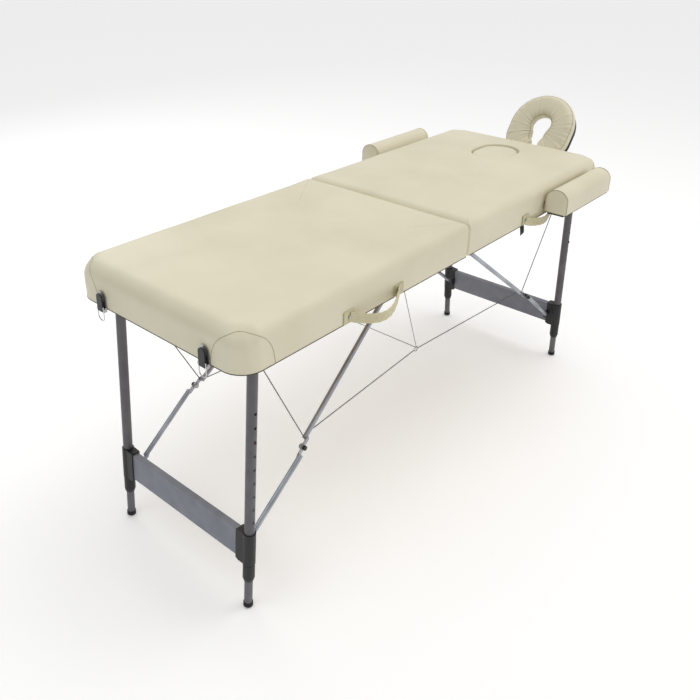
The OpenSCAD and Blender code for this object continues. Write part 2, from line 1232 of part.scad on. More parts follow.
foot_board();
foot_cushion();
foot_side_rails();
foot_end_rails();
foot_brackets();
foot_hinge_leaves();
foot_handle();
latch_plates();
near_latch_lever();
near_latch_loop();
far_latch_lever();
far_latch_loop();
foot_leg_tubes();
foot_connectors();
foot_crossbar();
foot_collars();
foot_near_inner_leg();
foot_near_foot_cap();
foot_near_button();
foot_far_inner_leg();
foot_far_foot_cap();
foot_far_button();
foot_lower_braces();
foot_knuckle_nuts();
foot_upper_braces();
foot_cables();
head_board();
head_cushion();
head_side_rails();
head_end_rails();
head_brackets();
head_hinge_leaves();
head_handle();
latch_keepers();
strap_end();
breath_plug();
head_leg_tubes();
head_connectors();
head_crossbar();
head_collars();
head_near_inner_leg();
head_near_foot_cap();
head_near_button();
head_far_inner_leg();
head_far_foot_cap();
head_far_button();
head_lower_braces();
head_knuckle_nuts();
head_upper_braces();
head_cables();
near_armrest_pad();
near_armrest_frame();
far_armrest_pad();
far_armrest_frame();
face_rest_rods();
face_rest_cradle();
face_rest_cushion();
face_rest_lever();
hinge_links();
cable_net();
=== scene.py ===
"""Folding treatment bed in cream synthetic leather on grey legs, dressed over its CAD model."""
import json
import math

import bmesh
import bpy
import numpy as np
from mathutils import Matrix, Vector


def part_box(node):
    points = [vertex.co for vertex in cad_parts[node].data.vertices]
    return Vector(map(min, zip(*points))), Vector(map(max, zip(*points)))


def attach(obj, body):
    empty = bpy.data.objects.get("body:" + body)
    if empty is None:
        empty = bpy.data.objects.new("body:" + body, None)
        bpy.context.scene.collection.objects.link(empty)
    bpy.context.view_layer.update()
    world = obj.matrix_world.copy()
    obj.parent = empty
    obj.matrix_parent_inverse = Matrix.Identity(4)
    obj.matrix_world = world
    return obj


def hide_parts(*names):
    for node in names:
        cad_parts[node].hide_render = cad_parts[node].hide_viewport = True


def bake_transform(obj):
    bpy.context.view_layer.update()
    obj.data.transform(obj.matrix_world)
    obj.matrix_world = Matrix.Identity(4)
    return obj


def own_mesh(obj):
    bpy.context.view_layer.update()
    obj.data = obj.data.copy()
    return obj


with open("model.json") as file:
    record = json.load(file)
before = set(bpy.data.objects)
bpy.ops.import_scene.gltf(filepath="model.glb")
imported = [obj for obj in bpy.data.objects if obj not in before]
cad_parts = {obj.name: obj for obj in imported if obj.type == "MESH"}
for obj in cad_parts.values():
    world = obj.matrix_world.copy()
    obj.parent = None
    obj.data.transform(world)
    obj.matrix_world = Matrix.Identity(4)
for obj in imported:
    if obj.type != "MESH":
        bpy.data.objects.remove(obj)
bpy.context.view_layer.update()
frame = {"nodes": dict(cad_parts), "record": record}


def middle(node, axis):
    """Halfway between a CAD node's low and high side along one axis."""
    low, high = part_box(node)
    return (low[axis] + high[axis]) / 2


HINGE_X = middle("hinge_links", 0)
BED_Y = middle("foot_cushion", 1)
END_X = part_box("foot_cushion")[0][0]
HALF_LENGTH = HINGE_X - END_X
HALF_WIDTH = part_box("foot_cushion")[1][1] - BED_Y
TOP_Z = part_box("foot_cushion")[1][2]
BOARD_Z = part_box("foot_board")[1][2]
RAIL_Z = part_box("foot_side_rails")[0][2]
UNDER_Z = RAIL_Z - 0.003

# ---------------------------------------------------------------- camera, light and floor


def place_camera():
    """A slightly long lens above the foot end's near corner, looking down along the bed."""
    yaw, pitch, roll = math.radians(41.30), math.radians(26.20), math.radians(0.50)
    ahead = np.array([math.cos(yaw) * math.cos(pitch), math.sin(yaw) * math.cos(pitch), -math.sin(pitch)])
    right = np.array([math.sin(yaw), -math.cos(yaw), 0.0])
    up = np.cross(right, ahead)
    rolled = right * math.cos(roll) + up * math.sin(roll)
    up = np.cross(rolled, ahead)
    data = bpy.data.cameras.new("camera")
    data.sensor_width = 36.0
    data.lens = 39.91
    data.shift_x = 0.0363
    data.shift_y = -0.0933
    camera = bpy.data.objects.new("camera", data)
    bpy.context.scene.collection.objects.link(camera)
    pose = Matrix.Identity(4)
    for row in range(3):
        pose[row][0], pose[row][1], pose[row][2] = rolled[row], up[row], -ahead[row]
    pose[0][3], pose[1][3], pose[2][3] = HINGE_X - 1.8907, BED_Y - 1.4135, 1.7200
    camera.matrix_world = pose
    bpy.context.scene.camera = camera


place_camera()


def area_light(name, place, aim, size, power, tint=(1.0, 1.0, 1.0)):
    """A square soft light at place, turned towards aim."""
    data = bpy.data.lights.new(name, "AREA")
    data.size = size
    data.energy = power
    data.color = tint
    light = bpy.data.objects.new(name, data)
    bpy.context.scene.collection.objects.link(light)
    back = np.array(place, float) - np.array(aim, float)
    back /= np.linalg.norm(back)
    side = np.cross([0.0, 0.0, 1.0], back)
    side /= np.linalg.norm(side)
    top = np.cross(back, side)
    pose = Matrix.Identity(4)
    for row in range(3):
        pose[row][0], pose[row][1], pose[row][2], pose[row][3] = side[row], top[row], back[row], place[row]
    light.matrix_world = pose


area_light("key_light", (1.5, -1.0, 4.5), (0.0, 0.0, 0.8), 2.6, 40.0, (1.0, 0.985, 0.955))
area_light("edge_light", (0.6, 4.0, 3.0), (0.2, 0.0, 0.8), 2.4, 26.0)
area_light("foot_light", (-2.4, 0.4, 2.6), (0.9, 0.0, 0.95), 1.6, 10.0, (0.93, 1.0, 0.96))

# ---------------------------------------------------------------- material helpers


def linear(colour):
    """sRGB hex to linear RGBA: divide by 12.92 below 0.04045, else a 2.4 power curve."""
    parts = np.array([int(colour[i:i + 2], 16) / 255.0 for i in (1, 3, 5)])
    low = parts / 12.92
    high = ((parts + 0.055) / 1.055) ** 2.4
    return (*np.where(parts <= 0.04045, low, high).tolist(), 1.0)


def add(tree, kind, links=None, values=None, **settings):
    """Adds one node, with its settings, socket values and incoming links."""
    node = tree.nodes.new(kind)
    for key, value in settings.items():
        setattr(node, key, value)
    for key, value in (values or {}).items():
        node.inputs[key].default_value = value
    for key, (source, output) in (links or {}).items():
        tree.links.new(source.outputs[output], node.inputs[key])
    return node


def new_material(name, metallic=0.0, roughness=0.5, ior=1.5):
    """An empty node material with its shader joined to the output."""
    material = bpy.data.materials.new(name)
    material.use_nodes = True
    tree = material.node_tree
    tree.nodes.clear()
    values = {"Metallic": metallic, "Roughness": roughness}
    if not metallic:
        values["IOR"] = ior
    shader = add(tree, "ShaderNodeBsdfPrincipled", values=values)
    add(tree, "ShaderNodeOutputMaterial", {"Surface": (shader, "BSDF")})
    coords = add(tree, "ShaderNodeTexCoord")
    return material, tree, shader, coords


def two_tones(tree, shader, factor, dark, light, low=0.35, high=0.65):
    """Colours the shader between two hex values by a 0 to 1 pattern."""
    ramp = add(tree, "ShaderNodeValToRGB", {"Fac": factor})
    ramp.color_ramp.elements[0].position = low
    ramp.color_ramp.elements[1].position = high
    ramp.color_ramp.elements[0].color = linear(dark)
    ramp.color_ramp.elements[1].color = linear(light)
    tree.links.new(ramp.outputs["Color"], shader.inputs["Base Color"])


def rough_range(tree, shader, factor, low, high):
    """Roughness between two values by a 0 to 1 pattern."""
    spread = add(tree, "ShaderNodeMapRange", {"Value": factor}, {"To Min": low, "To Max": high})
    tree.links.new(spread.outputs["Result"], shader.inputs["Roughness"])


def raised(tree, shader, height, strength, depth, under=None):
    """Bumps the shader by a height pattern, over an earlier bump if there is one."""
    links = {"Height": height}
    if under:
        links["Normal"] = (under, "Normal")
    bump = add(tree, "ShaderNodeBump", links, {"Strength": strength, "Distance": depth})
    tree.links.new(bump.outputs["Normal"], shader.inputs["Normal"])
    return bump


def soft_leather(name, light, dark, grain=0.0016, sheen=0.42):
    """PU-coated knit, embossed with a pebble grain: soft wide highlights and faint blotches.

    The real grain is about 0.8 mm; it is drawn at 1.6 mm to show."""
    material, tree, shader, coords = new_material(name, roughness=sheen, ior=1.46)
    point = (coords, "Object")
    blotch = add(tree, "ShaderNodeTexNoise", {"Vector": point}, {"Scale": 5.0, "Detail": 4.0})
    two_tones(tree, shader, (blotch, "Fac"), dark, light, 0.3, 0.62)
    pebble = add(tree, "ShaderNodeTexVoronoi", {"Vector": point}, {"Scale": 1 / grain},
                 feature="SMOOTH_F1")
    crease = add(tree, "ShaderNodeTexNoise", {"Vector": point}, {"Scale": 55.0, "Detail": 5.0})
    first = raised(tree, shader, (crease, "Fac"), 0.10, 0.004)
    raised(tree, shader, (pebble, "Distance"), 0.16, 0.0005, first)
    rough_range(tree, shader, (crease, "Fac"), sheen - 0.06, sheen + 0.10)
    return material


def powder_coat(name, light, dark, roughness=0.36):
    """Polyester powder baked on steel tube: a fine orange peel and an even satin shine."""
    material, tree, shader, coords = new_material(name, roughness=roughness)
    point = (coords, "Object")
    peel = add(tree, "ShaderNodeTexNoise", {"Vector": point}, {"Scale": 700.0, "Detail": 2.0})
    wear = add(tree, "ShaderNodeTexNoise", {"Vector": point}, {"Scale": 14.0, "Detail": 6.0})
    two_tones(tree, shader, (wear, "Fac"), dark, light, 0.35, 0.7)
    raised(tree, shader, (peel, "Fac"), 0.12, 0.0004)
    rough_range(tree, shader, (wear, "Fac"), roughness - 0.05, roughness + 0.1)
    return material


def bare_metal(name, light, dark, roughness, stretch=(1.0, 1.0, 1.0)):
    """Drawn or plated metal: fine lines along the draw and a soft smeared highlight."""
    material, tree, shader, coords = new_material(name, metallic=1.0, roughness=roughness)
    turned = add(tree, "ShaderNodeMapping", {"Vector": (coords, "Object")}, {"Scale": stretch})
    lines = add(tree, "ShaderNodeTexNoise", {"Vector": (turned, "Vector")},
                {"Scale": 240.0, "Detail": 4.0})
    smudge = add(tree, "ShaderNodeTexNoise", {"Vector": (coords, "Object")},
                 {"Scale": 11.0, "Detail": 3.0})
    two_tones(tree, shader, (smudge, "Fac"), dark, light, 0.35, 0.65)
    raised(tree, shader, (lines, "Fac"), 0.10, 0.0003)
    rough_range(tree, shader, (smudge, "Fac"), roughness - 0.06, roughness + 0.1)
    return material


def moulded(name, light, dark, roughness=0.5, speck=1100.0):
    """Injection-moulded plastic or rubber with a spark-eroded texture: dull, slightly mottled."""
    material, tree, shader, coords = new_material(name, roughness=roughness, ior=1.49)
    point = (coords, "Object")
    grit = add(tree, "ShaderNodeTexNoise", {"Vector": point}, {"Scale": speck, "Detail": 2.0})
    cloud = add(tree, "ShaderNodeTexNoise", {"Vector": point}, {"Scale": 30.0, "Detail": 3.0})
    two_tones(tree, shader, (cloud, "Fac"), dark, light)
    raised(tree, shader, (grit, "Fac"), 0.2, 0.0003)
    rough_range(tree, shader, (cloud, "Fac"), roughness - 0.05, roughness + 0.08)
    return material


def plywood(name):
    """Rotary-cut birch face under clear lacquer: long pale grain with thin darker lines."""
    material, tree, shader, coords = new_material(name, roughness=0.45)
    turned = add(tree, "ShaderNodeMapping", {"Vector": (coords, "Object")},
                 {"Scale": (1.2, 16.0, 16.0)})
    grain = add(tree, "ShaderNodeTexNoise", {"Vector": (turned, "Vector")},
                {"Scale": 6.0, "Detail": 8.0, "Distortion": 0.6})
    two_tones(tree, shader, (grain, "Fac"), "#A98656", "#D8BB8A", 0.3, 0.65)
    raised(tree, shader, (grain, "Fac"), 0.1, 0.0006)
    return material


def webbing(name, light, dark):
    """Plain-woven polyester webbing: rows of flat yarns 1.6 mm apart, crossed at right angles, with painted
    shade darkening the gaps between them.
    """
    material, tree, shader, coords = new_material(name, roughness=0.8)
    point = (coords, "UV")
    warp = add(tree, "ShaderNodeTexWave", {"Vector": point}, {"Scale": 100.0}, bands_direction="X")
    weft = add(tree, "ShaderNodeTexWave", {"Vector": point}, {"Scale": 100.0}, bands_direction="Y")
    both = add(tree, "ShaderNodeMath", {0: (warp, "Fac"), 1: (weft, "Fac")}, operation="MULTIPLY")
    # painted shade: the colour follows the weave, darker between the yarns and lighter where they cross
    two_tones(tree, shader, (both, "Value"), dark, light, 0.1, 0.9)
    raised(tree, shader, (both, "Value"), 0.6, 0.0004)
    return material


def wire_rope(name):
    """Galvanised rope of six strands laid to the right: slanting ridges 2 mm apart, with painted shade
    darkening the grooves between them.
    """
    material, tree, shader, coords = new_material(name, metallic=1.0, roughness=0.42)
    point = (coords, "UV")
    lay = add(tree, "ShaderNodeTexWave", {"Vector": point}, {"Scale": 80.0},
              bands_direction="DIAGONAL")
    # painted shade: the colour follows the lay, dark in the grooves between strands and light on their
    # crowns
    two_tones(tree, shader, (lay, "Fac"), "#3B3B3C", "#77777A", 0.1, 0.8)
    raised(tree, shader, (lay, "Fac"), 0.7, 0.0006)
    return material


CREAM = soft_leather("embossed_pu_leather_cream", "#DDD6BD", "#D6CFB5")
STRAP = soft_leather("embossed_pu_leather_strap", "#CFC7A4", "#B9B08C", 0.0018)
THREAD = moulded("waxed_seam_thread", "#B4AC92", "#A39B80", 0.7)
EDGE_TRIM = moulded("folded_edge_tape_brown", "#4A4437", "#39342A", 0.75)
LEG_PAINT = powder_coat("powder_coated_steel_grey", "#636166", "#535156")
INNER_PAINT = powder_coat("powder_coated_steel_dark", "#6A686C", "#5B595D", 0.42)
BAR_PAINT = powder_coat("powder_coated_steel_slate", "#858995", "#757884", 0.44)
ALLOY = bare_metal("drawn_aluminium_tube", "#AEB1B9", "#8E9199", 0.30, (0.2, 1.0, 1.0))
ZINC = bare_metal("zinc_plated_steel", "#BDBDBB", "#9C9C99", 0.36)
NICKEL = bare_metal("nickel_plated_wire", "#CFCFD1", "#B3B3B5", 0.2)
BLACK_METAL = powder_coat("stoved_black_enamel", "#222226", "#18181B", 0.40)
BUTTON = bare_metal("blued_steel", "#5A3A38", "#33272A", 0.35)
PLASTIC = moulded("moulded_nylon_black", "#1B1B1E", "#131315", 0.46)
RUBBER = moulded("moulded_rubber_black", "#161616", "#0E0E0E", 0.7)
BIRCH = plywood("lacquered_birch_plywood")
TAPE = webbing("woven_polyester_webbing", "#191919", "#070707")
ROPE = wire_rope("galvanised_wire_rope")

FINISH = {
    "birch_ply": BIRCH, "leg_paint": LEG_PAINT, "inner_leg_paint": INNER_PAINT,
    "crossbar_paint": BAR_PAINT, "black_plastic": PLASTIC, "black_rubber": RUBBER,
    "brace_alloy": ALLOY, "steel_hardware": ZINC, "cable_steel": ZINC, "latch_black": BLACK_METAL,
    "latch_wire": NICKEL, "black_webbing": TAPE, "black_metal": BLACK_METAL,
    "button_metal": BUTTON, "cream_leather": CREAM, "strap_leather": STRAP,
}
for part in frame["record"]["subparts"]:
    shell = frame["nodes"][part["node"]].data
    shell.materials.clear()
    shell.materials.append(FINISH[part["material_slot"]])

for plate in ("latch_plates", "latch_keepers"):
    frame["nodes"][plate].data.materials[0] = ZINC

# ---------------------------------------------------------------- floor


def lay_floor():
    """One square, wide enough for every view, a hair under the feet."""
    mesh = bpy.data.meshes.new("floor")
    far, under = 60.0, -0.0004
    corners = [(-far, -far, under), (far, -far, under), (far, far, under), (-far, far, under)]
    mesh.from_pydata(corners, [], [(0, 1, 2, 3)])
    floor = bpy.data.objects.new("floor", mesh)
    bpy.context.scene.collection.objects.link(floor)
    material, _, shader, _ = new_material("studio_paper", roughness=0.9)
    shader.inputs["Base Color"].default_value = linear("#FAFAFA")
    shader.inputs["Emission Color"].default_value = (1.0, 1.0, 1.0, 1.0)
    shader.inputs["Emission Strength"].default_value = 0.16
    mesh.materials.append(material)


lay_floor()


BRIGHT_WAY = (0.56, -0.22, 0.80)


def light_room():
    """A white room, brightest high beyond the head end and dimmest low beyond the foot end.

    Strength grows on an S curve with the cosine between a ray and the bright direction. What the
    camera sees directly stays white."""
    world = bpy.data.worlds.new("studio")
    world.use_nodes = True
    tree = world.node_tree
    tree.nodes.clear()
    way = add(tree, "ShaderNodeTexCoord")
    cosine = add(tree, "ShaderNodeVectorMath", {0: (way, "Generated")}, {1: BRIGHT_WAY},
                 operation="DOT_PRODUCT")
    strength = add(tree, "ShaderNodeMapRange", {"Value": (cosine, "Value")},
                   {"From Min": -0.55, "From Max": 0.95, "To Min": 0.15, "To Max": 0.90},
                   interpolation_type="SMOOTHSTEP")
    room = add(tree, "ShaderNodeBackground", {"Strength": (strength, "Result")})
    backdrop = add(tree, "ShaderNodeBackground", values={"Color": (1.0, 1.0, 1.0, 1.0)})
    room.inputs["Color"].default_value = (1.0, 1.0, 1.0, 1.0)
    seen = add(tree, "ShaderNodeLightPath")
    both = add(tree, "ShaderNodeMixShader",
               {0: (seen, "Is Camera Ray"), 1: (room, "Background"), 2: (backdrop, "Background")})
    add(tree, "ShaderNodeOutputWorld", {"Surface": (both, "Shader")})
    bpy.context.scene.world = world


light_room()
bpy.context.scene.view_settings.view_transform = "Standard"

# ---------------------------------------------------------------- mesh helpers


def grid_faces(rows, columns, wrap_rows=False, wrap_columns=False):
    """Quads between neighbours of a grid, the last row or column joined to the first if wrapped."""
    r = np.arange(rows if wrap_rows else rows - 1)
    c = np.arange(columns if wrap_columns else columns - 1)
    r, c = np.meshgrid(r, c, indexing="ij")
    r2, c2 = (r + 1) % rows, (c + 1) % columns
    quads = np.stack([r * columns + c, r2 * columns + c, r2 * columns + c2, r * columns + c2], -1)
    return quads.reshape(-1, 4)


def sheet_of(points, wrap_rows=False, wrap_columns=False):
    """(vertices, faces) of a grid of points."""
    rows, columns = points.shape[:2]
    return points.reshape(-1, 3), grid_faces(rows, columns, wrap_rows, wrap_columns)


WELD = 2e-5  # points closer than this become one


def piece(name, surfaces, material, body, replaces=(), uv=None):
    """One finished object from closed surfaces, welded, with its faces turned outwards.

    It rides on its body, unless body is None."""
    vertices, faces, start = [], [], 0
    for points, quads in surfaces:
        vertices.append(points)
        faces.append(quads + start)
        start += len(points)
    vertices = np.concatenate(vertices)
    faces = np.concatenate(faces)
    mesh = bpy.data.meshes.new(name)
    mesh.from_pydata(vertices.tolist(), [], faces.tolist())
    if uv is not None:
        layer = mesh.uv_layers.new(name="along")
        corners = np.empty(len(mesh.loops), np.int32)
        mesh.loops.foreach_get("vertex_index", corners)
        layer.data.foreach_set("uv", uv[corners].astype(np.float32).ravel())
    work = bmesh.new()
    work.from_mesh(mesh)
    bmesh.ops.remove_doubles(work, verts=work.verts, dist=WELD)
    bmesh.ops.dissolve_degenerate(work, edges=work.edges, dist=1e-7)
    bmesh.ops.recalc_face_normals(work, faces=work.faces)
    work.to_mesh(mesh)
    work.free()
    mesh.shade_smooth()
    mesh.materials.append(material)
    made = bpy.data.objects.new(name, mesh)
    bpy.context.scene.collection.objects.link(made)
    if body:
        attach(made, body)
    if replaces:
        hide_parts(*replaces)
    return made


def smooth(t):
    """0 below 0, 1 above 1 and an S curve between."""
    t = np.clip(t, 0.0, 1.0)
    return t * t * (3 - 2 * t)


def frames_along(path, upright=(0.0, 0.0, 1.0)):
    """Two unit directions across a path at each point, the second one as near upright as it can be."""
    ahead = np.gradient(path, axis=0)
    ahead /= np.linalg.norm(ahead, axis=1, keepdims=True)
    side = np.cross(ahead, np.array(upright))
    side /= np.linalg.norm(side, axis=1, keepdims=True)
    return side, np.cross(side, ahead)


def tube_along(path, radius, sides=10, upright=(0.0, 0.0, 1.0), closed=False):
    """A round tube: a circle carried along the path, its ends drawn to a point or joined."""
    side, top = frames_along(path, upright)
    if closed:
        ahead = np.roll(path, -1, 0) - np.roll(path, 1, 0)
        ahead /= np.linalg.norm(ahead, axis=1, keepdims=True)
        side = np.cross(ahead, np.array(upright))
        side /= np.linalg.norm(side, axis=1, keepdims=True)
        top = np.cross(side, ahead)
    turn = np.arange(sides) * 2 * np.pi / sides
    ring = np.cos(turn)[None, :, None] * side[:, None] + np.sin(turn)[None, :, None] * top[:, None]
    points = path[:, None] + ring * radius
    if closed:
        return sheet_of(points, True, True)
    caps = [np.repeat(path[:1, None], sides, 1), points, np.repeat(path[-1:, None], sides, 1)]
    return sheet_of(np.concatenate(caps), False, True)


# ---------------------------------------------------------------- padded panels


FOLD_GAP = 0.0005  # from the middle of the fold to each panel


def plan_outline(step=0.005):
    """The foot panel's plan: straight sides joined by quarter circles, as points and outward ways.

    It runs from the near hinge corner round the foot end to the far hinge corner and back."""
    big, small = 0.065, 0.008
    x0, x1, w = -HALF_LENGTH, -FOLD_GAP, HALF_WIDTH
    points, normals = [], []

    def straight(a, b, normal):
        count = max(int(np.linalg.norm(np.subtract(b, a)) / step), 2)
        t = np.arange(count)[:, None] / count
        points.append(np.array(a) + (np.array(b) - np.array(a)) * t)
        normals.append(np.repeat(np.array([normal], float), count, 0))

    def corner(centre, radius, start):
        count = 18
        turn = start - np.arange(count) / count * np.pi / 2
        way = np.stack([np.cos(turn), np.sin(turn)], -1)
        points.append(np.array(centre) + radius * way)
        normals.append(way)

    straight((x1 - small, -w), (x0 + big, -w), (0, -1))
    corner((x0 + big, -w + big), big, -np.pi / 2)
    straight((x0, -w + big), (x0, w - big), (-1, 0))
    corner((x0 + big, w - big), big, np.pi)
    straight((x0 + big, w), (x1 - small, w), (0, 1))
    corner((x1 - small, w - small), small, np.pi / 2)
    straight((x1, w - small), (x1, -w + small), (1, 0))
    corner((x1 - small, -w + small), small, 0.0)
    return np.concatenate(points), np.concatenate(normals)


OUTLINE, OUTWARD = plan_outline()
# Large soft edges all round, tight ones where the two panels meet.
ROUND = np.abs(OUTWARD[:, 0] * OUTWARD[:, 1]) * 2 * (OUTLINE[:, 0] < -0.1)
EDGE = 0.027 + 0.009 * smooth((-OUTLINE[:, 0] - 0.020) / 0.10) + 0.009 * ROUND
EDGE = EDGE + 0.014 * np.clip(-OUTWARD[:, 0], 0.0, 1.0)
DROP = EDGE * 0.92
LIP = 0.0042 + 0.0148 * smooth((-OUTLINE[:, 0] - 0.020) / 0.05)


def stadium_point(angle, radius, half):
    """Where a ray at each angle leaves a stadium.

    The stadium is two circles of one radius, with centres half either way along X, and their hull."""
    c, s = np.cos(angle), np.sin(angle)
    flat = radius / np.maximum(np.abs(s), 1e-9)
    reach = half * np.abs(c) + np.sqrt(np.maximum(radius ** 2 - (half * s) ** 2, 0.0))
    use = np.where(flat * np.abs(c) <= half, flat, reach)
    return np.stack([use * c, use * s], -1)


def inset(distance):
    """The outline drawn in by a distance for each point.

    It is kept inside the drawn-in rectangle, so that tight corners don't cross."""
    plan = OUTLINE - OUTWARD * distance[:, None]
    x = np.minimum(plan[:, 0], -FOLD_GAP - distance)
    y = np.clip(plan[:, 1], distance - HALF_WIDTH, HALF_WIDTH - distance)
    return np.stack([x, y], -1)


HOLE_ROUND = 0.007  # the cover's turn into the breathing hole
HOLE_X = -0.695  # its middle, from the fold
HOLE_HALF = 0.025  # half the distance between the centres of its round ends
SKIN = 0.0008  # how far the top starts below the padding's box


def panel(name, mirrored, hole_x, body, node):
    """A covered panel: a profile carried round the plan outline.

    The profile runs from the middle over the top, round the edge, down the side and under the
    rails, then back up inside to the board. With a hole it starts at the hole's rim instead."""
    sign = -1.0 if mirrored else 1.0
    count = len(OUTLINE)
    centre = np.array([hole_x if hole_x is not None else -HALF_LENGTH / 2, 0.0])
    if hole_x is None:
        rim = np.repeat(centre[None], count, 0)
        rim_out = np.zeros((count, 2))
    else:
        seen = OUTLINE - centre
        angle = np.arctan2(seen[:, 1], seen[:, 0])
        rim = centre + stadium_point(angle, 0.0752, HOLE_HALF)
        rim_out = (rim - centre) / np.linalg.norm(rim - centre, axis=1, keepdims=True)
    rows, heights = [], []
    flat_edge = inset(EDGE)
    if hole_x is not None:
        for t in np.linspace(0, 1, 6)[:-1]:
            rows.append(rim)
            heights.append(np.full(count, BOARD_Z + 0.0003 + (TOP_Z - 0.0015 - HOLE_ROUND - BOARD_Z) * t))
        for t in np.linspace(0, np.pi / 2, 9)[:-1]:
            rows.append(rim + rim_out * HOLE_ROUND * (1 - math.cos(t)))
            heights.append(np.full(count, TOP_Z - SKIN - HOLE_ROUND * (1 - math.sin(t))))
        inner = rim + rim_out * HOLE_ROUND
    else:
        inner = rim
    for t in np.linspace(0, 1, 60)[:-1]:
        rows.append(inner + (flat_edge - inner) * t)
        heights.append(np.full(count, TOP_Z - SKIN))
    for t in np.linspace(0, np.pi / 2, 12)[:-1]:
        rows.append(inset(EDGE * (1 - math.sin(t))))
        heights.append(TOP_Z - SKIN - DROP * (1 - math.cos(t)))
    side_top = TOP_Z - SKIN - DROP
    for t in np.linspace(0, 1, 14)[:-1]:
        rows.append(OUTLINE - OUTWARD * 0.0004 * t)
        heights.append(side_top + (UNDER_Z + 0.003 - side_top) * t)
    for t in np.linspace(0, np.pi / 2, 5)[:-1]:
        rows.append(OUTLINE - OUTWARD * (0.0004 + 0.0026 * (1 - math.cos(t))))
        heights.append(np.full(count, UNDER_Z + 0.003 - 0.0026 * math.sin(t)))
    rows.append(OUTLINE - OUTWARD * LIP[:, None])
    heights.append(np.full(count, UNDER_Z + 0.0004))
    rows.append(OUTLINE - OUTWARD * LIP[:, None])
    heights.append(np.full(count, RAIL_Z - 0.0003))
    rows.append(OUTLINE - OUTWARD * 0.0037)
    heights.append(np.full(count, RAIL_Z - 0.0003))
    rows.append(OUTLINE - OUTWARD * 0.0037)
    heights.append(np.full(count, BOARD_Z + 0.0003))
    rows.append(rim)
    heights.append(np.full(count, BOARD_Z + 0.0003))
    plan = np.array(rows)
    z = np.array(heights)
    x, y = plan[..., 0], plan[..., 1]
    # Slow swells of the foam on top, and short puckers beside the fold.
    on_top = smooth((z - (TOP_Z - 0.012)) / 0.010)
    crown = 0.0045 * (1 - np.abs(y / HALF_WIDTH) ** 2.5) * (1 - np.abs(2 * x / HALF_LENGTH + 1) ** 4)
    swell = 0.0006 * np.sin(9.0 * x + 1.3) * np.sin(11.0 * y + 0.4) + 0.0004 * np.sin(23.0 * x - 5.0 * y)
    near_fold = np.exp(-np.abs(x) / 0.022)
    pucker = 0.0010 * near_fold * (np.sin(96.0 * y + 1.0) * on_top
                                   + np.sin(120.0 * (z - UNDER_Z)) * (1 - on_top) * 0.4)
    outside = (z > UNDER_Z + 0.004) & (np.arange(len(z))[:, None] < len(z) - 5)
    z = z + np.where(outside, (crown + swell - np.abs(pucker)) * on_top, 0.0)
    # Soft upright folds where the cover turns each outer corner, dying out at the lower edge.
    turn = np.arctan2(OUTWARD[:, 1], OUTWARD[:, 0])
    height = np.clip((z - UNDER_Z) / (TOP_Z - UNDER_Z), 0, 1)
    wave = 0.0007 * ROUND[None] * np.cos(turn * 11 + 3.0 * height)
    fold = wave * smooth(height / 0.4) * smooth((1.04 - height) / 0.25)
    x = x - np.where(outside, fold, 0.0) * OUTWARD[:, 0]
    y = y - np.where(outside, fold, 0.0) * OUTWARD[:, 1]
    points = np.stack([sign * x + HINGE_X, y + BED_Y, z], -1)
    sheet = sheet_of(points, hole_x is not None, True)
    made = piece(name, [sheet], CREAM, body, (node,))


panel("foot_panel_cover", False, None, "foot_half", "foot_cushion")
panel("head_panel_cover", True, HOLE_X, "head_half", "head_cushion")


def on_side(first, last, height, proud=0.0):
    """Points on the panel's outer face, from outline index first to last, at the given heights."""
    index = np.arange(first, last) % len(OUTLINE)
    rise = np.clip((height - (TOP_Z - SKIN - DROP[index])) / DROP[index], 0.0, 1.0)
    plan = OUTLINE[index] - OUTWARD[index] * (EDGE[index] * (1 - np.sqrt(1 - rise ** 2)) - proud)[:, None]
    return np.stack([plan[:, 0], plan[:, 1], height], -1)


def set_down(points, mirrored):
    """Bed coordinates from the fold to the row frame, turned round for the head half."""
    sign = -1.0 if mirrored else 1.0
    return points * np.array([sign, 1.0, 1.0]) + np.array([HINGE_X, BED_Y, 0.0])




def corner_index(side):
    """The outline's point nearest the middle of an outer corner, near with -1 and far with 1."""
    inward = 0.019
    x = OUTLINE[:, 0] + HALF_LENGTH - inward
    y = OUTLINE[:, 1] - side * (HALF_WIDTH - inward)
    return int(np.argmin(np.hypot(x, y)))


NEAR_CORNER, FAR_CORNER = corner_index(-1), corner_index(1)
EDGE_ROWS = int(np.argmax(OUTWARD[:, 0] > 0.5))

for end, mirrored in (("foot", False), ("head", True)):
    seams = []
    for corner in (NEAR_CORNER, FAR_CORNER):
        reach = 17
        index = np.arange(corner - reach, corner + reach + 1)
        across = (index - corner) / reach
        rise = (TOP_Z - 0.009 - UNDER_Z) * np.sqrt(np.clip(1 - np.abs(across) ** 2.3, 0.0, 1.0))
        height = UNDER_Z + 0.004 + np.maximum(rise - 0.004, 0.0)
        path = set_down(on_side(index[0], index[-1] + 1, height, -0.0001), mirrored)
        seams.append(tube_along(path, 0.0008, 8, (0.3, 0.2, 0.1)))
    piece(end + "_corner_seams", seams, THREAD, end + "_half")
    flat = np.full(EDGE_ROWS, UNDER_Z + 0.0012)
    trim = set_down(on_side(0, EDGE_ROWS, flat, -0.0012), mirrored)
    piece(end + "_edge_trim", [tube_along(trim, 0.0016, 8)], EDGE_TRIM, end + "_half")


